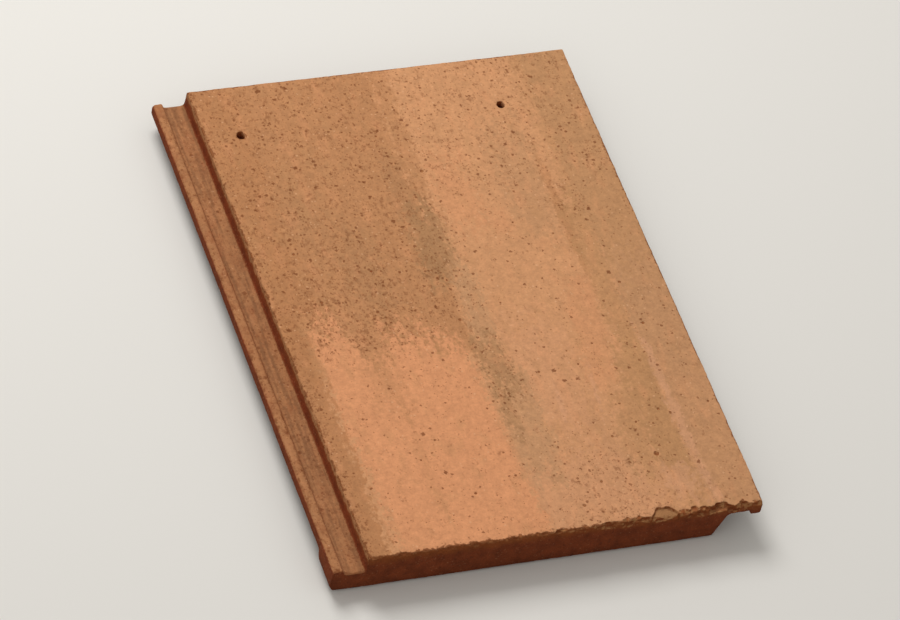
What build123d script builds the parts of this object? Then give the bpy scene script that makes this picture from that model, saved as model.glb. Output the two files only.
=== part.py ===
from build123d import *
import os
from math import radians, tan

# Flat interlocking concrete roof tile, extruded and pressed as one piece. Millimetres.
# X runs along the course towards the overlock, Y up the roof from nose to head, and Z out of the roof.
# The origin is the middle of the tile's footprint, on the level that its nose and lugs stand on.

# Overall sizes
length = 432.0              # nose to head
cover_width = 294.0         # what one laid tile adds to its course
nose_depth = 32.0           # top face down to the underside of the nose
web = 12.0                  # plain thickness between the ribs

# Side interlock: the overlock flange of one tile covers the underlock channel of the next
joint_gap = 4.0             # open joint between two laid top faces
flange = 8.0                # thickness of the overlock flange
hook_width = 8.5            # rib that hangs from the flange's outer edge
hook_drop = 4.0             # how far the hook hangs below the flange
lip_width = 8.0             # upstand on the outer edge of the underlock
shunt = 3.5                 # sideways play between lip and hook
lip_room = 2.0              # gap between the lip's top and the flange
hook_room = 2.5             # gap between the hook and the channel floor
wall_room = 4.5             # gap between the lip and the recess wall behind it
channel_floor = 7.5         # thickness of concrete under the water channel
recess_draft = 20.0         # lean of the recess wall, in degrees from upright

# Underside
rib_count = 4               # ribs between the two thick side bands
rib_width = 12.0            # width of a rib's foot
band_width = 8.0            # thick band beside the channel, measured in from the body's edge
edge_width = 16.0           # foot of the thick band beside the recess
rib_draft = 10.0            # lean of the rib walls, in degrees from upright
nose_bar = 26.0             # length of the nose's foot, front to back
bar_draft = 15.0            # lean of the walls of the nose bar and weather bars, in degrees
bar_count = 2               # weather bars behind the nose
bar_foot = 7.0              # foot of a weather bar, front to back
bar_pitch = 22.0            # one weather bar to the next, and the nose bar's foot to the first
bar_lift = 5.0              # weather bars stop this far above the nose's underside

# Batten hooks and nailing
lug_width = 48.0            # tip of a lug, side to side
lug_tip = 15.0              # tip of a lug, front to back
lug_draft = 15.0            # lean of the lug's sides and back, in degrees
lug_inset = 28.0            # head edge to the face that hooks over the batten
batten_width = 38.0         # batten that the lugs hook over
nail_hole = 6.0             # diameter
nail_pad = 20.0             # diameter of the pad's foot round a nail hole

# Rounded edges of the pressed section
arris = 1.2                 # top edges, hook and rib toes
cut_bevel = 1.2             # top edges of the nose and head
nose_bevel = 2.5            # lower front edge of the nose
tongue_round = 8.0          # outer lower edge of the underlock at the nose
nose_round_share = 0.8      # most that the edge may round of the height below the rib feet
tongue_foot_round = 4.0     # the same edge behind the nose bar
lip_round = 2.5             # top of the lip
channel_round = 2.5         # corners of the channel floor
recess_round = 4.0          # recess wall into the flange
root_round = 4.0            # ribs into the web
toe_round = 2.0             # edges of the feet of ribs, bars and lugs, and of the recess wall

# Heights, worked down from the top face through the interlock
top_z = nose_depth
web_z = top_z - web
flange_z = top_z - flange
hook_z = flange_z - hook_drop
lip_z = flange_z - lip_room
channel_z = hook_z - hook_room
seat_z = channel_z - channel_floor

# Places across the tile
underlock = lip_width + shunt + hook_width + joint_gap
width = cover_width - joint_gap + underlock
left_x = -width / 2
right_x = width / 2
body_x = left_x + underlock
lip_x = left_x + lip_width
hook_x = right_x - hook_width
recess_x = left_x + cover_width - wall_room
seat_wall_x = recess_x - (flange_z - seat_z) * tan(radians(recess_draft))

# Bays between the ribs, evenly spread between the two side bands
rib_lean = (web_z - seat_z) * tan(radians(rib_draft))
field_left = body_x + band_width
field_right = seat_wall_x - edge_width
bay_width = (field_right - field_left - rib_count * rib_width) / (rib_count + 1)
bay_pitch = bay_width + rib_width
bay_xs = [field_left + bay_width / 2 + bay_pitch * i for i in range(rib_count + 1)]
rib_xs = [x + bay_pitch / 2 for x in bay_xs[:-1]]

# Places along the tile
nose_y = -length / 2
head_y = length / 2
hook_face_y = head_y - lug_inset
nail_y = hook_face_y - batten_width / 2


def rounded_face(corners, plane):
    """Face on a plane from corners of (across, up, radius), each rounded by its own arc."""
    line = FilletPolyline([(a, b) for a, b, _ in corners], radius=[r for _, _, r in corners], close=True)
    return make_face(plane * line)


def section():
    """Cross-section of the nose, solid below the top face, with both interlocks."""
    corners = [
        (left_x, 0, min(tongue_round, nose_round_share * seat_z)),
        (recess_x - flange_z * tan(radians(recess_draft)), 0, toe_round),
        (recess_x, flange_z, recess_round),
        (hook_x, flange_z, arris),
        (hook_x, hook_z, arris),
        (right_x, hook_z, arris),
        (right_x, top_z, arris),
        (body_x, top_z, arris),
        (body_x, channel_z, channel_round),
        (lip_x, channel_z, channel_round),
        (lip_x, lip_z, lip_round),
        (left_x, lip_z, lip_round),
    ]
    return rounded_face(corners, Plane.XZ)


def bay_corners(x):
    """Corners of one bay, left to right: down its drafted wall's foot, up to the web and down again."""
    half_foot = bay_width / 2
    half_roof = half_foot - rib_lean
    return [
        (x - half_foot, seat_z, toe_round),
        (x - half_roof, web_z, root_round),
        (x + half_roof, web_z, root_round),
        (x + half_foot, seat_z, toe_round),
    ]


def weather_bar(front_y, back_y, foot):
    """Bar across the body's underside, with drafted walls that run up through the web's underside."""
    bury = web / 2
    lean = (web_z + bury - foot) * tan(radians(bar_draft))
    corners = [
        (front_y, foot, toe_round),
        (back_y, foot, toe_round),
        (back_y + lean, web_z + bury, 0),
        (front_y - lean, web_z + bury, 0),
    ]
    return extrude(Pos(body_x, 0, 0) * rounded_face(corners, Plane.YZ), amount=width)


def lug(x):
    """Lug with an upright face towards the batten, and drafted sides and back."""
    height = web_z + web / 2
    lean = height * tan(radians(lug_draft))
    tip = Rectangle(lug_width, lug_tip + lean, align=(Align.CENTER, Align.MIN))
    block = extrude(Pos(x, hook_face_y - lean, 0) * tip, amount=height, taper=-lug_draft)
    block = fillet(block.faces().sort_by(Axis.Z)[0].edges(), toe_round)
    seat = (Align.CENTER, Align.MIN, Align.CENTER)
    behind_batten = Pos(x, hook_face_y, 0) * Box(2 * (lug_width + lean), 2 * lug_inset, 2 * top_z, align=seat)
    return block & behind_batten


def pad_cone(x):
    """Round pad under a nail hole, level with the rib feet so that the nail pulls it onto the batten."""
    height = web_z - seat_z + web / 2
    spread = height * tan(radians(rib_draft))
    seat = (Align.CENTER, Align.CENTER, Align.MIN)
    return Pos(x, nail_y, seat_z) * Cone(nail_pad / 2, nail_pad / 2 + spread, height, align=seat)


def hollow():
    """Everything that is pressed out behind the nose bar: the bays, and the space below the ribs."""
    clear = nose_depth
    across = [
        (left_x - clear, seat_z, 0),
        *[corner for x in bay_xs for corner in bay_corners(x)],
        (right_x + clear, seat_z, 0),
        (right_x + clear, -clear, 0),
        (left_x - clear, -clear, 0),
    ]
    slope = tan(radians(bar_draft))
    wall_y = nose_y + nose_bar
    along = [
        (wall_y + toe_round * slope, toe_round, 0),
        (wall_y + toe_round * slope - toe_round - clear, -clear, 0),
        (head_y + 2 * clear, -clear, 0),
        (head_y + 2 * clear, clear, 0),
        (wall_y + clear * slope, clear, 0),
    ]
    bays = extrude(rounded_face(across, Plane.XZ), amount=length / 2 + clear, both=True)
    return bays & extrude(rounded_face(along, Plane.YZ), amount=width, both=True)


def bevel_cut(end_y, edge_z, size):
    """Wedge that takes a bevel off the cut edge at one end of the tile, along its top or its foot."""
    past_y = 1 if end_y > 0 else -1
    past_z = 1 if edge_z > 0 else -1
    far = 2 * size
    corners = [
        (end_y + past_y * size, edge_z - past_z * far, 0),
        (end_y + past_y * size, edge_z + past_z * size, 0),
        (end_y - past_y * far, edge_z + past_z * size, 0),
    ]
    return extrude(rounded_face(corners, Plane.YZ), amount=width, both=True)


def foot_edges(solid, x):
    """Lower edges that run along the tile at this place across it, on the level of the rib feet."""
    near = 0.01
    lines = solid.edges().filter_by(GeomType.LINE).filter_by(Axis.Y)
    return [e for e in lines if abs(e.center().X - x) < near and abs(e.center().Z - seat_z) < near]


def make_tile():
    """The whole tile: the plain section drawn out from nose to head, less what is hollow under it."""
    space = hollow()
    for i in range(bar_count):
        back_y = nose_y + nose_bar + bar_pitch * (i + 1)
        space -= weather_bar(back_y - bar_foot, back_y, bar_lift)
    for x in (rib_xs[0], rib_xs[-1]):
        space -= lug(x)
    for x in (bay_xs[0], bay_xs[-1]):
        space -= pad_cone(x)
        space += Pos(x, nail_y, 0) * Cylinder(nail_hole / 2, 4 * top_z)
    tile = extrude(section(), amount=length / 2, both=True) - space

    tile = fillet(foot_edges(tile, left_x), tongue_foot_round)
    tile = fillet(foot_edges(tile, seat_wall_x), toe_round)
    for end_y, edge_z, size in ((nose_y, 0, nose_bevel), (nose_y, top_z, cut_bevel), (head_y, top_z, cut_bevel)):
        tile -= bevel_cut(end_y, edge_z, size)
    return tile


def main():
    os.makedirs("parts", exist_ok=True)
    tile = make_tile()
    tile.label = "roof_tile"
    export_step(tile, "parts/roof_tile.step")


if __name__ == "__main__":
    main()
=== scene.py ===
import itertools
import math
from collections import namedtuple

import bmesh
import bpy
import numpy as np
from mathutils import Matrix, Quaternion, Vector
from mathutils.bvhtree import BVHTree


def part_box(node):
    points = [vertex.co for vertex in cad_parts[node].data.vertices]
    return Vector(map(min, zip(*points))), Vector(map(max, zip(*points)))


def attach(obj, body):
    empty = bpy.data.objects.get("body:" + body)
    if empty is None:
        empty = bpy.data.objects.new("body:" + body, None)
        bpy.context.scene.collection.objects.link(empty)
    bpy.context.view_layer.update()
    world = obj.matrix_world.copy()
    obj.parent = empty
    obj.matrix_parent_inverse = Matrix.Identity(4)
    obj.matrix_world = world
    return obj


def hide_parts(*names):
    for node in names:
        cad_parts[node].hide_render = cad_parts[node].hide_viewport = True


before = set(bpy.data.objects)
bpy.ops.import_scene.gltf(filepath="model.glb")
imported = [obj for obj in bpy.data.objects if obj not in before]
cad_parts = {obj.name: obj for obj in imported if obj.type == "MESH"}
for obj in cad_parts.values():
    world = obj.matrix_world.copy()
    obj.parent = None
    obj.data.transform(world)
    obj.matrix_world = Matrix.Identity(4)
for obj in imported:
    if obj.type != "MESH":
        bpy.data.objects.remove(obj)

# The looks of a flat interlocking concrete roof tile: worn cast concrete under a blended colour coat.
# Metres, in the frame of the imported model: x across the tile, y up the roof to its head, z out of the roof.

MM = 0.001
NODE = "roof_tile"
LOW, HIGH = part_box(NODE)
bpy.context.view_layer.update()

# Places on the tile
TOP = HIGH.z
NOSE = LOW.y
UNDERLOCK_WIDTH = 24 * MM       # channel and lip beside the body, which the next tile covers
BODY_LEFT = LOW.x + UNDERLOCK_WIDTH
BODY_WIDTH = HIGH.x - BODY_LEFT
FACE_FOOT = TOP - 3 * MM        # the top face lies above this
UNDERLOCK_TOP = TOP - 6 * MM    # and all of the underlock below this
CHANNEL_TOP = TOP - 12 * MM     # the water channel's floor lies below this, and the lip's top above it

# Mesh
VOXEL = 0.7 * MM
TRIANGLES = 192000              # triangles that the decimated mesh keeps; under the limit of 200,000 for a piece
WELD = 0.001 * MM               # points nearer than this are one

# Camera, fitted to the corners of the tile's top face in the photograph
CAMERA_AZIMUTH = -30.3          # degrees, 0 looks up the tile from its nose
CAMERA_ELEVATION = 47.5         # degrees above the tile's face
CAMERA_ROLL = 15.9              # degrees
CAMERA_DISTANCE = 4.2
SENSOR = 36.0                   # mm, for the picture's width
FRAME_SIZE = (900, 620)         # pixels
FRAME_FILL = 0.88               # share of the frame's width or height that the tile takes


# Shape

def mesh_of(obj):
    """The object's mesh with its modifiers applied."""
    graph = bpy.context.evaluated_depsgraph_get()
    graph.update()
    return bpy.data.meshes.new_from_object(obj.evaluated_get(graph))


def new_object(name, mesh):
    obj = bpy.data.objects.new(name, mesh)
    bpy.context.scene.collection.objects.link(obj)
    return obj


def apply_modifier(obj, kind, **settings):
    """Adds a modifier and replaces the object's mesh by the result."""
    modifier = obj.modifiers.new(kind.lower(), kind)
    for name, value in settings.items():
        setattr(modifier, name, value)
    mesh = mesh_of(obj)
    obj.modifiers.clear()
    obj.data = mesh


def welded_copy(name, node):
    """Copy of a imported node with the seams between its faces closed."""
    shape = bmesh.new()
    shape.from_mesh(node.data)
    bmesh.ops.remove_doubles(shape, verts=shape.verts, dist=WELD)
    mesh = bpy.data.meshes.new(name)
    shape.to_mesh(mesh)
    shape.free()
    return new_object(name, mesh)


def read(collection, key, width, kind=np.float32):
    """A mesh's numbers as an array with this many columns."""
    values = np.empty(len(collection) * width, kind)
    collection.foreach_get(key, values)
    return values.reshape(-1, width)


def noise(points, wavelength, seed):
    """Smooth random values from -1 to 1, whose swells are about one wavelength apart along each axis."""
    size = 64                   # cells before the pattern comes again
    lattice = np.random.default_rng(seed).uniform(-1, 1, (size, size, size))
    cells = points / np.asarray(wavelength)
    corner = np.floor(cells).astype(int)
    share = cells - corner
    share = share * share * (3 - 2 * share)
    total = np.zeros(len(points))
    for step in itertools.product((0, 1), repeat=3):
        weight = np.prod(np.where(step, share, 1 - share), axis=1)
        x, y, z = ((corner + step) % size).T
        total += weight * lattice[x, y, z]
    return total


def relief(points, height, wavelength, seed):
    """Uneven depth from 0 to twice this height."""
    return height * (1 + noise(points, wavelength, seed))


def smoothed(points, edges, rounds):
    """Each point moved to the mean of its neighbours, this many times."""
    count = len(points)
    a, b = edges.T
    neighbours = np.bincount(edges.ravel(), minlength=count)
    for _ in range(rounds):
        sums = [np.bincount(a, points[b, i], count) + np.bincount(b, points[a, i], count) for i in range(3)]
        points = np.stack(sums, axis=1) / neighbours[:, None]
    return points


def wear_arrises(points, normals, edges):
    """Rounds every outer edge by an uneven amount, as handling does."""
    hollow = np.einsum("ij,ij->i", smoothed(points, edges, rounds=12) - points, normals)
    amount = 0.55 + 0.35 * noise(points, 11 * MM, 1) + 0.45 * noise(points, 3.5 * MM, 2)
    depth = np.clip(-hollow, 0, None) * np.clip(amount, 0.1, 1.2)
    return points - normals * depth[:, None]


# How badly the nose's top edge is torn at these shares of the body's width: worse to the right
TEAR_PLACES = (0.0, 0.42, 0.62, 1.0)
TEAR_AMOUNTS = (1.0, 1.25, 2.1, 2.5)
LEAST_TEAR = 0.3 * MM


def tear(x):
    """How badly the nose's top edge is torn at this place."""
    return np.interp((x - BODY_LEFT) / BODY_WIDTH, TEAR_PLACES, TEAR_AMOUNTS)


def crumble_nose_edge(points):
    """Cuts the top edge of the nose back to a lumpy slope, where the cutter tore the fresh concrete."""
    reach = (
        1.7
        + 0.6 * noise(points, 14 * MM, 3)
        + 1.3 * noise(points, 4.6 * MM, 4)
        + 0.8 * noise(points, 2.1 * MM, 5)
    )
    reach = np.clip(reach * tear(points[:, 0]) * MM, LEAST_TEAR, None)
    behind = points[:, 1] - NOSE
    below = TOP - points[:, 2]
    short = np.clip(reach - behind - below, 0, None) / 2
    moved = points.copy()
    moved[:, 1] += short
    moved[:, 2] -= short
    return moved


# Chips along that edge, least and most. Widths and spacings in mm are for its least torn end.
CHIP_WIDTHS = (2.8, 4.8)
CHIP_DEPTHS = (0.22, 0.38)      # shares of the width
CHIP_SPACINGS = (6, 11)


def edge_chips():
    """Centre and radius of each ball that scoops a chip out of the nose's top edge."""
    random = np.random.default_rng(seed=8)
    balls = []
    x = BODY_LEFT + 5 * MM
    while x < HIGH.x - 2 * MM:
        width = random.uniform(*CHIP_WIDTHS) * (0.6 + 0.4 * tear(x))
        depth = random.uniform(*CHIP_DEPTHS) * width
        radius = (width * width / 4 + depth * depth) / (2 * depth) * MM
        away = (radius - depth * MM) / math.sqrt(2)
        balls.append((np.array([x, NOSE - away, TOP + away]), radius))
        x += random.uniform(*CHIP_SPACINGS) / tear(x) * MM
    return balls


def scoop_chips(points):
    """Pushes what lies inside a chip's ball back to the ball's surface."""
    moved = points.copy()
    rough = 1 + 0.06 * noise(points, 1.8 * MM, 6)
    for centre, radius in edge_chips():
        offset = moved - centre
        distance = np.linalg.norm(offset, axis=1)
        inside = distance < radius * rough
        moved[inside] = centre + offset[inside] * (radius * rough[inside] / distance[inside])[:, None]
    return moved


# The flake that broke out of that edge, in mm: its middle, half its width, its reach and its depth at the rim
FLAKE_X = 84
FLAKE_HALF = 10.2
FLAKE_REACH = 9.4
FLAKE_DEPTH = 1.5
FLAKE_RIM = 0.10                # width of the rim, as a share of the way to the middle
FLAKE_FOOT = 9                  # mm below the top face, where the nose keeps its shape


def flake_share(points):
    """How far inside the flake each point lies: 0 at its uneven rim, about 1 at the middle of its edge."""
    across = (points[:, 0] / MM - FLAKE_X) / FLAKE_HALF
    behind = (points[:, 1] - NOSE) / MM / FLAKE_REACH
    return 1 - np.hypot(across, behind) - 0.17 * noise(points, (4.2 * MM, 4.2 * MM, 12 * MM), 13)


def break_flake(points):
    """Sinks the flake's floor below the top face, with a steep rim, and lower towards the nose."""
    share = flake_share(points)
    floor = FLAKE_DEPTH * (1 + 0.7 * np.clip(share, 0, 1)) + 0.25 * noise(points, 2.6 * MM, 14)
    held = np.clip((TOP - points[:, 2]) / (FLAKE_FOOT * MM), 0, 1)
    moved = points.copy()
    moved[:, 2] -= MM * floor * np.clip(share / FLAKE_RIM, 0, 1) * (1 - held)
    return moved


# Air holes that show in the photograph, in mm: x, y, radius
HOLES = [
    (96, -161, 2.2), (111, -123, 1.4), (-59, -6, 1.4), (-96, 9, 1.5), (-32, 27, 1.3), (-52, 31, 1.3),
    (-3, -22, 1.5), (123, -7, 1.4), (127, -46, 1.4), (14, 116, 1.6), (84, -58, 1.2), (30, -196, 1.5),
    (49, -178, 1.4), (-42, -173, 1.4), (70, -141, 1.3), (-73, -74, 1.2),
]
SMALL_HOLES = 46                # others, at random
SMALL_HOLE_RADII = (0.7, 1.3)   # mm
HOLE_MARGIN = 6                 # mm that those keep from the edges of the top face
HOLE_DEPTH = 0.55               # share of the radius
HOLE_FOOT = TOP - 2 * MM        # only what lies above this sinks


def air_holes():
    """Place and radius in mm of each air hole: those that the photograph shows, and more at random."""
    random = np.random.default_rng(seed=21)
    holes = list(HOLES)
    for _ in range(SMALL_HOLES):
        x = random.uniform(BODY_LEFT / MM + HOLE_MARGIN, HIGH.x / MM - HOLE_MARGIN)
        y = random.uniform(NOSE / MM + HOLE_MARGIN, HIGH.y / MM - HOLE_MARGIN)
        holes.append((x, y, random.uniform(*SMALL_HOLE_RADII)))
    return holes


def pit_top(points):
    """Sinks the air holes into the top face as shallow bowls."""
    moved = points.copy()
    for x, y, radius in air_holes():
        away = np.hypot(moved[:, 0] / MM - x, moved[:, 1] / MM - y) / radius
        inside = (away < 1) & (moved[:, 2] > HOLE_FOOT)
        moved[inside, 2] -= HOLE_DEPTH * radius * MM * (1 - away[inside] ** 2)
    return moved


def roughen(points, normals):
    """Torn grain on the cut ends, drag lines on sides and underlock, fine grain below, swells on top."""
    on_top = points[:, 2] > FACE_FOOT
    top = np.clip(normals[:, 2] * 4 - 3, 0, 1) * on_top
    underlock = np.clip(normals[:, 2] * 2 - 1, 0, 1) * ~on_top
    below = np.clip(-normals[:, 2], 0, 1)
    side = np.clip(np.abs(normals[:, 0]) * 2 - 1, 0, 1)
    cut = np.clip(np.abs(normals[:, 1]) * 2 - 1, 0, 1)
    torn = relief(points, 0.22, 5.5 * MM, 7) + relief(points, 0.20, 2.3 * MM, 8)
    grain = relief(points, 0.08, 7 * MM, 9) + relief(points, 0.06, 2.6 * MM, 10)
    drag = relief(points, 0.07, (2.4 * MM, 60 * MM, 2.4 * MM), 15) + relief(points, 0.06, 2.4 * MM, 16)
    swell = relief(points, 0.07, (45 * MM, 170 * MM, MM), 11)
    fine = relief(points, 0.03, (7 * MM, 190 * MM, MM), 12) + relief(points, 0.04, 4.5 * MM, 17)
    depth = cut * torn + (1 - cut) * below * grain + (side + underlock) * drag + top * (swell + fine)
    return points - normals * (MM * depth)[:, None]


def make_tile():
    """The worn tile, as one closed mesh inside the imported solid's box."""
    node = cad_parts[NODE]
    tile = welded_copy("cast_tile", node)
    apply_modifier(tile, "REMESH", mode="VOXEL", voxel_size=VOXEL)

    mesh = tile.data
    points = read(mesh.vertices, "co", 3).astype(float)
    normals = read(mesh.vertices, "normal", 3).astype(float)
    edges = read(mesh.edges, "vertices", 2, np.int32)
    points = wear_arrises(points, normals, edges)
    points = crumble_nose_edge(points)
    points = roughen(points, normals)
    points = pit_top(points)
    points = scoop_chips(points)
    points = break_flake(points)
    points = np.clip(points, np.array(LOW), np.array(HIGH))
    mesh.vertices.foreach_set("co", points.astype(np.float32).ravel())
    mesh.update()

    voxel_triangles = 2 * len(mesh.polygons)
    apply_modifier(tile, "DECIMATE", ratio=TRIANGLES / voxel_triangles)
    apply_modifier(tile, "TRIANGULATE")
    tile.data.shade_smooth()
    apply_modifier(tile, "WEIGHTED_NORMAL", mode="FACE_AREA")
    record_damage(tile.data, node)
    return tile


def record_damage(mesh, node):
    """Stores how deep in mm each point lies under the unworn surface, and where the flake is."""
    corners = [vertex.co for vertex in node.data.vertices]
    unworn = BVHTree.FromPolygons(corners, [face.vertices for face in node.data.polygons])
    depths = [unworn.find_nearest(vertex.co)[3] / MM for vertex in mesh.vertices]
    mesh.attributes.new("depth", "FLOAT", "POINT").data.foreach_set("value", depths)
    points = read(mesh.vertices, "co", 3).astype(float)
    flaked = np.clip(flake_share(points) / 0.20 + 0.2, 0, 1) * (points[:, 2] > UNDERLOCK_TOP)
    mesh.attributes.new("flaked", "FLOAT", "POINT").data.foreach_set("value", flaked.astype(np.float32))


# Colours, as they show on the screen

def srgb(red, green, blue):
    """Linear colour from screen values of 0 to 255."""
    def linear(value):
        share = value / 255
        return share / 12.92 if share <= 0.04045 else ((share + 0.055) / 1.055) ** 2.4
    return (linear(red), linear(green), linear(blue), 1.0)


LIGHT_TAN = srgb(201, 145, 102)
SALMON = srgb(213, 147, 103)
PALE_SALMON = srgb(208, 152, 114)
PINK_TAN = srgb(204, 143, 100)
ROSE_GREY = srgb(204, 147, 106)
TAN_BROWN = srgb(183, 129, 87)
GREY_TAN = srgb(173, 124, 84)
MARGIN_BROWN = srgb(176, 121, 79)
STREAK_GREY = srgb(166, 122, 83)
STREAK_PALE = srgb(188, 140, 100)
OLIVE = srgb(182, 133, 90)
EDGE_TAN = srgb(185, 136, 96)
UMBER = srgb(112, 58, 24)
SAND = srgb(224, 172, 130)
WORN = srgb(168, 120, 79)
TORN = srgb(184, 129, 82)
# lighter, warmer bare concrete: painted light on the upper part of the bare faces
PAINTED_LIGHT_BODY = srgb(158, 88, 40)
DUST = srgb(168, 121, 82)
SILT = srgb(120, 80, 52)
BODY = srgb(142, 70, 39)
BODY_DARK = srgb(110, 53, 30)
BODY_GRAIN = srgb(182, 128, 92)
# painted shade in the air holes of the bare concrete
AIR_HOLE_SHADE = srgb(62, 30, 18)
LIME = srgb(176, 150, 130)
BACKGROUND = srgb(226, 223, 217)


# Material

FAR = 1.0                       # wavelength along an axis on which a pattern doesn't change


class Shader:
    """Adds the nodes of one material by short calls. A value is a number or another node's output."""

    def __init__(self, name):
        self.material = bpy.data.materials.new(name)
        self.material.use_nodes = True
        self.tree = self.material.node_tree
        self.surface = self.tree.nodes["Principled BSDF"]
        coordinates = self.add("ShaderNodeTexCoord")
        self.place = coordinates.outputs["Object"]
        self.x, self.y, self.z = self.split(self.place)
        self.normal_x, _, self.normal_z = self.split(coordinates.outputs["Normal"])

    def add(self, kind, **settings):
        node = self.tree.nodes.new(kind)
        for name, value in settings.items():
            setattr(node, name, value)
        return node

    def put(self, socket, value):
        if isinstance(value, bpy.types.NodeSocket):
            self.tree.links.new(value, socket)
        else:
            socket.default_value = value

    def split(self, vector):
        node = self.add("ShaderNodeSeparateXYZ")
        self.put(node.inputs[0], vector)
        return node.outputs

    def math(self, operation, a, b=0.0, c=0.0):
        node = self.add("ShaderNodeMath", operation=operation)
        for socket, value in zip(node.inputs, (a, b, c)):
            self.put(socket, value)
        return node.outputs[0]

    def add_up(self, *values):
        total = values[0]
        for value in values[1:]:
            total = self.math("ADD", total, value)
        return total

    def times(self, *values):
        total = values[0]
        for value in values[1:]:
            total = self.math("MULTIPLY", total, value)
        return total

    def ramp(self, value, low, high, start=0.0, end=1.0):
        """Smooth rise from start to end while the value goes from low to high."""
        node = self.add("ShaderNodeMapRange", interpolation_type="SMOOTHSTEP")
        inputs = {"Value": value, "From Min": low, "From Max": high, "To Min": start, "To Max": end}
        for name, number in inputs.items():
            self.put(node.inputs[name], number)
        return node.outputs[0]

    def stretched(self, wavelength):
        """The place, counted in wavelengths along each axis."""
        node = self.add("ShaderNodeVectorMath", operation="DIVIDE")
        self.put(node.inputs[0], self.place)
        self.put(node.inputs[1], wavelength)
        return node.outputs[0]

    def noise(self, wavelength, detail=2.0, roughness=0.5):
        """Cloudy values about 0.5. The wavelength is one number, or one for each axis."""
        node = self.add("ShaderNodeTexNoise")
        if isinstance(wavelength, tuple):
            self.put(node.inputs["Vector"], self.stretched(wavelength))
            node.inputs["Scale"].default_value = 1.0
        else:
            self.put(node.inputs["Vector"], self.place)
            node.inputs["Scale"].default_value = 1 / wavelength
        node.inputs["Detail"].default_value = detail
        node.inputs["Roughness"].default_value = roughness
        return node.outputs[0]

    def swing(self, reach, wavelength, detail=2.0):
        """Noise that swings by about the reach to either side of 0."""
        centred = self.math("SUBTRACT", self.noise(wavelength, detail), 0.5)
        return self.math("MULTIPLY", centred, 4 * reach)

    def mix(self, share, first, second):
        node = self.add("ShaderNodeMix", data_type="RGBA")
        self.put(node.inputs["Factor"], share)
        self.put(node.inputs["A"], first)
        self.put(node.inputs["B"], second)
        return node.outputs["Result"]

    def shade(self, colour, factor):
        """The colour made lighter or darker by a factor."""
        node = self.add("ShaderNodeVectorMath", operation="SCALE")
        self.put(node.inputs[0], colour)
        self.put(node.inputs["Scale"], factor)
        return node.outputs[0]

    def window(self, value, low, high, soft):
        """1 between low and high, with soft ends."""
        rise = self.ramp(value, low - soft, low + soft)
        fall = self.ramp(value, high - soft, high + soft, 1.0, 0.0)
        return self.math("MINIMUM", rise, fall)

    def cells(self, cell, feature="F1"):
        """Cells of about this size, whose outlines are bent by a noise of about half the size."""
        wobble = self.add("ShaderNodeTexNoise")
        self.put(wobble.inputs["Vector"], self.place)
        wobble.inputs["Scale"].default_value = 2.2 / cell
        bent = self.add("ShaderNodeVectorMath", operation="MULTIPLY_ADD")
        self.put(bent.inputs[0], wobble.outputs["Color"])
        self.put(bent.inputs[1], (0.8 * cell,) * 3)
        self.put(bent.inputs[2], self.place)
        node = self.add("ShaderNodeTexVoronoi", feature=feature)
        self.put(node.inputs["Vector"], bent.outputs[0])
        node.inputs["Scale"].default_value = 1 / cell
        return node.outputs

    def specks(self, cell, share, size):
        """Specks in this share of the cells, up to this size as a share of a cell."""
        cells = self.cells(cell)
        pick, weight, _ = self.split(cells["Color"])
        chosen = self.math("LESS_THAN", pick, share)
        reach = self.math("MULTIPLY", weight, size)
        rim = self.math("SUBTRACT", reach, cells["Distance"])
        return self.times(chosen, self.ramp(rim, -0.08, 0.12))

    def lumps(self, cell):
        """1 over each lump and 0 in the cracks between lumps."""
        return self.ramp(self.cells(cell, "DISTANCE_TO_EDGE")["Distance"], 0.05, 0.22)


# The blend on the top face, in the order in which the patches cover each other. In mm, x holds a patch's left
# and right side, y its foot and head, and soft its blur across and along. Lean is how far it moves right for
# each step up the tile, and slope how far its ends rise for each step to the right.
Patch = namedtuple("Patch", "colour x y soft strength lean slope", defaults=(0.0, 0.0))

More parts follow.
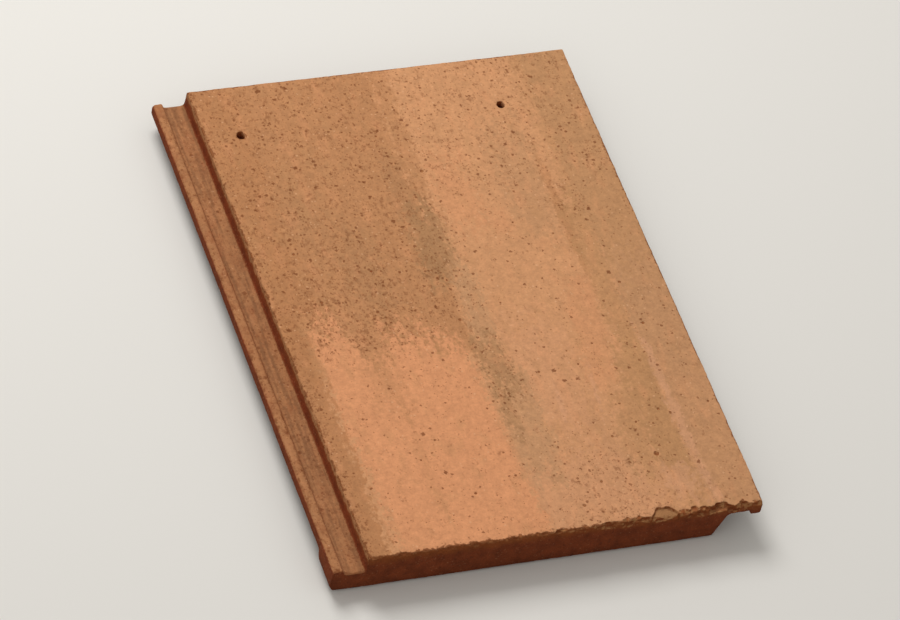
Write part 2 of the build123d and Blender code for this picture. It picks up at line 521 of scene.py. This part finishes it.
PATCHES = [
    Patch(ROSE_GREY, (20, 64), (-132, -30), (14, 30), 0.7),
    Patch(ROSE_GREY, (-4, 86), (-300, -152), (12, 20), 0.8),
    Patch(TAN_BROWN, (-170, 4), (-60, 300), (9, 16), 1.0),
    Patch(MARGIN_BROWN, (-170, -101), (-14, 300), (14, 22), 0.6),
    Patch(GREY_TAN, (-98, -72), (62, 116), (14, 24), 0.55),
    Patch(GREY_TAN, (-68, -42), (-4, 74), (13, 24), 0.7),
    Patch(SALMON, (-110, -2), (-300, -27), (9, 30), 1.0, -0.05, -0.32),
    Patch(TAN_BROWN, (-84, -66), (-56, 0), (9, 22), 0.8, -0.12),
    Patch(TAN_BROWN, (-88, -60), (-94, -40), (9, 20), 0.32),
    Patch(TAN_BROWN, (-71, -66), (-190, -50), (4, 22), 0.32),
    Patch(MARGIN_BROWN, (-170, -116), (-300, 6), (8, 16), 0.85),
    Patch(GREY_TAN, (-15, 2), (16, 132), (8, 24), 0.7),
    Patch(TAN_BROWN, (2, 15), (84, 300), (6, 22), 0.75),
    Patch(STREAK_GREY, (-12, 13), (10, 82), (9, 20), 0.85),
    Patch(STREAK_PALE, (3, 19), (-50, 26), (7, 20), 0.85),
    Patch(STREAK_PALE, (-1, 28), (-168, -72), (8, 24), 0.75),
    Patch(STREAK_GREY, (0, 20), (-92, -38), (8, 22), 0.68, -0.06),
    Patch(STREAK_GREY, (-1, 10), (-128, -76), (5, 20), 0.65),
    Patch(PINK_TAN, (18, 45), (56, 128), (9, 20), 0.8),
    Patch(PINK_TAN, (45, 62), (48, 82), (7, 14), 0.6),
    Patch(EDGE_TAN, (70, 102), (40, 150), (13, 30), 0.7),
    Patch(PINK_TAN, (75, 100), (-98, 0), (7, 20), 0.75, 0.13),
    Patch(TAN_BROWN, (100, 107), (0, 104), (3, 22), 0.8),
    Patch(OLIVE, (103, 121), (-300, 70), (7, 26), 0.7),
    Patch(OLIVE, (95, 121), (-174, -60), (6, 22), 0.8),
    Patch(OLIVE, (79, 100), (-172, -94), (8, 22), 0.65, 0.15),
    Patch(EDGE_TAN, (58, 80), (-190, -126), (10, 22), 0.28),
    Patch(EDGE_TAN, (119, 190), (-300, 300), (5, 10), 0.9),
    Patch(LIGHT_TAN, (126, 190), (-300, -80), (8, 50), 0.3),
    Patch(OLIVE, (112, 190), (10, 300), (9, 50), 0.5),
    Patch(PALE_SALMON, (95, 115), (-206, -175), (8, 11), 0.55),
    Patch(PALE_SALMON, (120, 126), (-214, -56), (3, 22), 0.62, -0.015),
    Patch(PALE_SALMON, (42, 46), (-122, -95), (2, 12), 0.5, 0.05),
    Patch(PALE_SALMON, (71, 75), (-118, -75), (2, 14), 0.5, 0.08),
]


def patch_area(s, patch, across, along):
    """1 inside a patch and 0 outside, with its soft border between."""
    (left, right), (foot, head) = patch.x, patch.y
    soft_across, soft_along = patch.soft
    return s.times(
        s.window(across, left * MM, right * MM, soft_across * MM),
        s.window(along, foot * MM, head * MM, soft_along * MM),
    )


def patch_cover(s, patch, across, along, ragged):
    """Share of the colour that a patch gives, with its border broken up by the grain."""
    middle_x, middle_y = (sum(ends) / 2 * MM for ends in (patch.x, patch.y))
    if patch.lean:
        across = s.math("MULTIPLY_ADD", s.math("SUBTRACT", s.y, middle_y), -patch.lean, across)
    if patch.slope:
        along = s.math("MULTIPLY_ADD", s.math("SUBTRACT", s.x, middle_x), -patch.slope, along)
    inside = patch_area(s, patch, across, along)
    border = s.times(inside, s.math("SUBTRACT", 1.0, inside), 4.0)
    return s.ramp(s.math("MULTIPLY_ADD", border, ragged, inside), 0.05, 0.95, 0.0, patch.strength)


# Where dark specks lie thick in the coat, with places as above. The specks are pores showing the red-brown
# body, partly painted shade.
Speckle = namedtuple("Speckle", "x y soft amount")

SPECKLED = [
    Speckle((-170, 3), (-30, 300), (8, 20), 0.7),
    Speckle((-118, -32), (-40, 46), (14, 20), 1.0),
    Speckle((-4, 22), (-112, 300), (5, 18), 0.5),
    Speckle((22, 100), (-300, -152), (24, 24), 0.6),
    Speckle((94, 122), (48, 92), (8, 12), 0.55),
    Speckle((-170, 170), (94, 300), (1, 14), 0.55),
    Speckle((-170, -125), (-300, 300), (3, 1), 0.9),
]


def speckliness(s, across, along):
    """How thick the dark specks lie in the coat, from 0 to about 1."""
    most = 0.0
    for speckle_area in SPECKLED:
        most = s.math("MAXIMUM", most, s.times(patch_area(s, speckle_area, across, along), speckle_area.amount))
    return s.math("MAXIMUM", s.math("ADD", most, s.swing(0.35, 17 * MM)), 0.0)


def sprinkle(s, colour, grain, cell, share, size, strength):
    """The colour with specks of another colour in it. The cell is in mm."""
    return s.mix(s.times(s.specks(cell * MM, share, size), strength), colour, grain)


def blended_coat(s):
    """Colour of the top coat: soft patches and streaks along the tile, with dark specks and pale sand in
    them.
    """
    across = s.add_up(s.x, s.swing(2.4 * MM, (30 * MM, 90 * MM, FAR)), s.swing(1.0 * MM, 7 * MM))
    along = s.add_up(s.y, s.swing(6 * MM, (24 * MM, 46 * MM, FAR)), s.swing(11 * MM, (6 * MM, 50 * MM, FAR)))
    ragged = s.add_up(s.swing(0.95, (2.6 * MM, 3.6 * MM, 3 * MM), 3.0), s.swing(0.5, (7 * MM, 13 * MM, FAR)))
    colour = LIGHT_TAN
    for patch in PATCHES:
        colour = s.mix(patch_cover(s, patch, across, along, ragged), colour, patch.colour)

    # Clouds of pinker and greener coat, then lighter and darker ones from broad streaks down to single grains
    colour = s.mix(s.ramp(s.noise((9 * MM, 24 * MM, FAR), 3.0), 0.50, 0.72, 0.0, 0.30), colour, SALMON)
    colour = s.mix(s.ramp(s.noise((10 * MM, 20 * MM, 1.2 * FAR), 3.0), 0.50, 0.72, 0.0, 0.30), colour, OLIVE)
    drift = s.add_up(
        1.006,
        s.swing(0.018, (5 * MM, 150 * MM, FAR)),
        s.swing(0.018, 38 * MM),
        s.swing(0.032, 9 * MM),
        s.swing(0.105, 3.8 * MM),
        s.swing(0.085, 1.6 * MM, 3.0),
    )
    colour = s.shade(colour, drift)

    # Dark mottles, then dark specks, more of them where they lie thick, and pale sand. The dark specks are
    # pores showing the red-brown body, partly painted shade.
    speckled = speckliness(s, across, along)
    mottle = s.math("MULTIPLY_ADD", speckled, 0.10, s.noise((3.0 * MM, 4.0 * MM, 3.0 * MM), 3.0, 0.65))
    colour = s.mix(s.ramp(mottle, 0.59, 0.76, 0.0, 0.42), colour, UMBER)
    for cell, fewest, more, size, strength in (
        (1.4, 0.05, 0.32, 0.50, 0.50),
        (2.6, 0.04, 0.28, 0.48, 0.66),
        (5.0, 0.05, 0.16, 0.36, 0.74),
    ):
        colour = sprinkle(s, colour, UMBER, cell, s.math("MULTIPLY_ADD", speckled, more, fewest), size, strength)
    colour = sprinkle(s, colour, SAND, 2.3, 0.16, 0.36, 0.5)

    # Ragged dark band along the torn edge of the nose
    edge = s.add_up(s.y, s.swing(1.5 * MM, 4.2 * MM), s.swing(1.1 * MM, 1.9 * MM), s.swing(0.8 * MM, 15 * MM))
    return s.mix(s.ramp(edge, NOSE + 1.6 * MM, NOSE + 3.2 * MM, 0.8, 0.0), colour, UMBER)


def body_concrete(s):
    """Colour of the bare concrete: red-brown with dark and light sand, painted shade in its air holes and
    towards the bottom, dusty on top and limy underneath.
    """
    colour = s.mix(s.ramp(s.noise(8 * MM, 3.0), 0.30, 0.86), BODY, BODY_DARK)
    drift = s.add_up(s.swing(0.20, 1.4 * MM, 3.0), s.swing(0.10, 4 * MM), s.swing(0.06, 28 * MM), 1.0)
    colour = s.shade(colour, drift)
    for grain, cell, share, size, strength in (
        (BODY_DARK, 1.6, 0.30, 0.50, 0.55),
        (BODY_DARK, 3.1, 0.16, 0.42, 0.75),
        (AIR_HOLE_SHADE, 5.5, 0.14, 0.24, 0.90),
        (BODY_GRAIN, 1.7, 0.20, 0.46, 0.38),
        (BODY_GRAIN, 3.6, 0.10, 0.34, 0.42),
    ):
        colour = sprinkle(s, colour, grain, cell, share, size, strength)
    dust = s.ramp(s.noise(13 * MM, 3.0), 0.35, 0.65, 0.2, 0.6)
    colour = s.mix(s.times(s.ramp(s.normal_z, 0.3, 0.9), dust), colour, DUST)
    # Painted shade: the bare concrete is darker towards the bottom of the tile
    painted_low_shade = s.ramp(s.add_up(s.z, s.swing(3 * MM, 12 * MM)), 3 * MM, 13 * MM, 0.8, 1.0)
    colour = s.shade(colour, painted_low_shade)
    facing_down = s.ramp(s.normal_z, -0.85, -0.3, 1.0, 0.0)
    bloom = s.ramp(s.noise((26 * MM, 70 * MM, 26 * MM), 5.0, 0.7), 0.36, 0.74, 0.02, 0.28)
    return s.mix(s.times(facing_down, bloom), colour, LIME)


def broken_concrete(s, flaked):
    """Colour of bare concrete, lighter near the top as painted light, with coat dust on the torn edge and the
    flake's floor.
    """
    # Painted light: the bare faces are lighter towards the top edge, where the light falls on them
    painted_light_band = s.ramp(s.add_up(s.z, s.swing(2.0 * MM, 7 * MM)), TOP - 9 * MM, TOP - 2 * MM, 0.0, 0.5)
    colour = s.mix(painted_light_band, body_concrete(s), PAINTED_LIGHT_BODY)

    crown = s.times(s.lumps(5.2 * MM), s.ramp(s.noise(6 * MM, 2.0), 0.34, 0.52))
    facing_up = s.ramp(s.normal_z, 0.0, 0.45)
    near_top = s.ramp(s.z, TOP - 9 * MM, TOP - 7 * MM)
    rightward = s.ramp(s.x, BODY_LEFT + 0.3 * BODY_WIDTH, BODY_LEFT + 0.66 * BODY_WIDTH, 0.25, 0.85)
    colour = s.mix(s.times(crown, facing_up, near_top, rightward), colour, TORN)

    floor = s.times(flaked, s.ramp(s.normal_z, 0.62, 0.88), 0.9)
    return s.mix(floor, colour, WORN)


def channel_silt(s):
    """Share of the dirt that run-off water leaves on the floor of the underlock, in streaks along it."""
    low = s.ramp(s.z, CHANNEL_TOP - MM, CHANNEL_TOP + MM, 1.0, 0.0)
    streaks = s.add_up(s.noise((3 * MM, 45 * MM, 3 * MM), 3.0), s.swing(0.10, 2.6 * MM))
    return s.times(low, s.ramp(s.normal_z, 0.5, 0.9), s.ramp(streaks, 0.38, 0.72, 0.0, 0.6))


def coat_cover(s, depth):
    """Where the coat lies: on top, ragged down the sides, thin on the underlock, and gone where worn."""
    facing_up = s.ramp(s.math("ADD", s.normal_z, s.swing(0.16, 2.6 * MM)), 0.42, 0.72)
    on_top = s.times(facing_up, s.ramp(s.z, TOP - 5 * MM, TOP - 4 * MM))

    run = s.add_up(s.z, s.swing(1.6 * MM, (9 * MM, 9 * MM, 30 * MM)), s.swing(0.8 * MM, 2.4 * MM))
    upright = s.math("GREATER_THAN", s.math("ABSOLUTE", s.normal_x), 0.6)
    side = s.times(upright, s.ramp(run, TOP - 5 * MM, TOP - 3 * MM))

    spray = s.ramp(s.add_up(s.noise(16 * MM, 3.0), s.swing(0.08, 2.2 * MM)), 0.30, 0.60, 0.5, 0.8)
    underlock = s.times(facing_up, s.ramp(s.z, UNDERLOCK_TOP - MM, UNDERLOCK_TOP, 1.0, 0.0), spray)

    kept = s.ramp(s.add_up(depth, s.swing(0.22, 1.7 * MM)), 0.42, 0.70, 1.0, 0.0)
    return s.times(s.math("MAXIMUM", s.math("MAXIMUM", on_top, side), underlock), kept)


def dark_edges_and_rim_shade(s, cover, depth, flaked):
    """Share of the dark colour where the coat ends at worn edges, and of painted shade round the flake's
    steep rim.
    """
    worn = s.ramp(s.add_up(depth, s.swing(0.14, 1.8 * MM)), 0.30, 0.46)
    broken = s.ramp(s.noise(4 * MM, 2.0), 0.38, 0.62, 0.6, 4.0)
    # Painted shade: the flake's rim is darkened where its steep wall lies in shade
    rim = s.times(flaked, s.math("SUBTRACT", 1.0, flaked), broken)
    return s.times(s.math("MAXIMUM", s.times(worn, cover), rim), 0.75)


def sandy_normal(s, cover):
    """Normals of a surface with fine and coarse grit and drag lines, which the coat evens out."""
    fine = s.noise(1.3 * MM, 2.0, 0.6)
    coarse = s.noise(3.4 * MM, 2.0, 0.5)
    drag = s.noise((2.2 * MM, 60 * MM, 3 * MM), 2.0)
    grit = s.add_up(s.times(fine, 0.55), s.times(coarse, 0.6), s.times(drag, 0.25))
    bump = s.add("ShaderNodeBump")
    bump.inputs["Distance"].default_value = 0.42 * MM
    s.put(bump.inputs["Height"], s.times(grit, s.ramp(cover, 0.0, 1.0, 1.5, 0.75)))
    return bump.outputs[0]


def coated_concrete():
    """Concrete with a matt colour coat on its weather side."""
    s = Shader("coated_concrete")
    depth = s.add("ShaderNodeAttribute", attribute_name="depth").outputs["Fac"]
    flaked = s.add("ShaderNodeAttribute", attribute_name="flaked").outputs["Fac"]
    cover = coat_cover(s, depth)
    colour = s.mix(cover, broken_concrete(s, flaked), blended_coat(s))
    colour = s.mix(channel_silt(s), colour, SILT)
    colour = s.mix(dark_edges_and_rim_shade(s, cover, depth, flaked), colour, UMBER)
    # Darker where the surface lies deeper under the unworn one, but not in the flake: partly dirt, partly
    # painted shade in the hollows
    hollow_dirt_and_shade = s.ramp(depth, 0.3, 1.1, 1.0, 0.85)
    s.put(s.surface.inputs["Base Color"], s.shade(colour, s.math("MAXIMUM", hollow_dirt_and_shade, flaked)))
    s.put(s.surface.inputs["Roughness"], s.ramp(s.noise(1.6 * MM, 2.0), 0.3, 0.7, 0.74, 0.92))
    s.surface.inputs["Specular IOR Level"].default_value = 0.12
    s.put(s.surface.inputs["Normal"], sandy_normal(s, cover))
    return s.material


# Stage, light and camera

FLOOR_HALF = 12.0               # half the floor's side
FLOOR_GAP = 0.05 * MM           # keeps the floor off the plane of the tile's feet
FLOOR_GREY = (0.22, 0.21, 0.20, 1)
SKY_WHITE = (1, 0.98, 0.95, 1)
SKY_STRENGTH = 0.46


def background_rays(tree):
    """1 for rays that see the background, also in gloss or glass, and 0 for those that light the tile."""
    path = tree.nodes.new("ShaderNodeLightPath")
    share = path.outputs["Is Camera Ray"]
    for ray in ("Is Glossy Ray", "Is Transmission Ray"):
        either = tree.nodes.new("ShaderNodeMath")
        either.operation = "MAXIMUM"
        tree.links.new(share, either.inputs[0])
        tree.links.new(path.outputs[ray], either.inputs[1])
        share = either.outputs[0]
    return share


def make_floor():
    """Plain pale floor, which lights the tile from below only as a mid grey one would."""
    corners = [(x * FLOOR_HALF, y * FLOOR_HALF, 0) for x, y in ((-1, -1), (1, -1), (1, 1), (-1, 1))]
    mesh = bpy.data.meshes.new("floor")
    mesh.from_pydata(corners, [], [(0, 1, 2, 3)])
    floor = new_object("floor", mesh)
    floor.location.z = LOW.z - FLOOR_GAP
    s = Shader("floor")
    s.surface.inputs["Base Color"].default_value = BACKGROUND
    s.surface.inputs["Roughness"].default_value = 0.9
    grey = s.add("ShaderNodeBsdfDiffuse")
    grey.inputs["Color"].default_value = FLOOR_GREY
    choice = s.add("ShaderNodeMixShader")
    s.put(choice.inputs[0], background_rays(s.tree))
    s.put(choice.inputs[1], grey.outputs[0])
    s.put(choice.inputs[2], s.surface.outputs[0])
    s.put(s.tree.nodes["Material Output"].inputs[0], choice.outputs[0])
    mesh.materials.append(s.material)


def make_lamp(name, place, size, power):
    """Soft square lamp that shines at the tile. Its power is in watts."""
    lamp = bpy.data.lights.new(name, "AREA")
    lamp.size = size
    lamp.energy = power
    obj = bpy.data.objects.new(name, lamp)
    bpy.context.scene.collection.objects.link(obj)
    obj.location = place
    obj.rotation_mode = "QUATERNION"
    obj.rotation_quaternion = (-Vector(place)).to_track_quat("-Z", "Y")


def make_light():
    """Main lamp from behind the head, weak fill from the front, and even light from all round."""
    make_lamp("sky_lamp", place=(-0.35, 1.35, 1.75), size=1.1, power=33)
    make_lamp("front_fill", place=(-1.6, -1.6, 1.6), size=1.6, power=5)
    world = bpy.data.worlds.new("studio")
    bpy.context.scene.world = world
    world.use_nodes = True
    nodes = world.node_tree.nodes
    links = world.node_tree.links
    light = nodes["Background"]
    light.inputs["Color"].default_value = SKY_WHITE
    light.inputs["Strength"].default_value = SKY_STRENGTH
    pale = nodes.new("ShaderNodeBackground")
    pale.inputs["Color"].default_value = BACKGROUND
    choice = nodes.new("ShaderNodeMixShader")
    links.new(background_rays(world.node_tree), choice.inputs[0])
    links.new(light.outputs[0], choice.inputs[1])
    links.new(pale.outputs[0], choice.inputs[2])
    links.new(choice.outputs[0], nodes["World Output"].inputs["Surface"])


def make_camera():
    """Camera at the photograph's angle, with the tile in the middle of the frame."""
    azimuth = math.radians(CAMERA_AZIMUTH)
    elevation = math.radians(CAMERA_ELEVATION)
    back = Vector((
        math.sin(azimuth) * math.cos(elevation),
        -math.cos(azimuth) * math.cos(elevation),
        math.sin(elevation),
    ))
    turn = (-back).to_track_quat("-Z", "Y") @ Quaternion((0, 0, 1), math.radians(CAMERA_ROLL))
    seen = [turn.inverted() @ Vector(corner) for corner in itertools.product(*zip(LOW, HIGH))]
    middle = Vector([(max(p[i] for p in seen) + min(p[i] for p in seen)) / 2 for i in range(3)])
    width, height = (max(p[i] for p in seen) - min(p[i] for p in seen) for i in range(2))
    frame_width, frame_height = FRAME_SIZE
    spread = max(width, height * frame_width / frame_height) / FRAME_FILL

    data = bpy.data.cameras.new("camera")
    data.sensor_width = SENSOR
    data.lens = SENSOR * CAMERA_DISTANCE / spread
    camera = bpy.data.objects.new("camera", data)
    bpy.context.scene.collection.objects.link(camera)
    camera.rotation_mode = "QUATERNION"
    camera.rotation_quaternion = turn
    camera.location = turn @ middle + back * CAMERA_DISTANCE
    bpy.context.scene.camera = camera


tile = make_tile()
tile.data.materials.clear()
tile.data.materials.append(coated_concrete())
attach(tile, "root")
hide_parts(NODE)

make_floor()
make_light()
make_camera()
bpy.context.scene.view_settings.view_transform = "Standard"
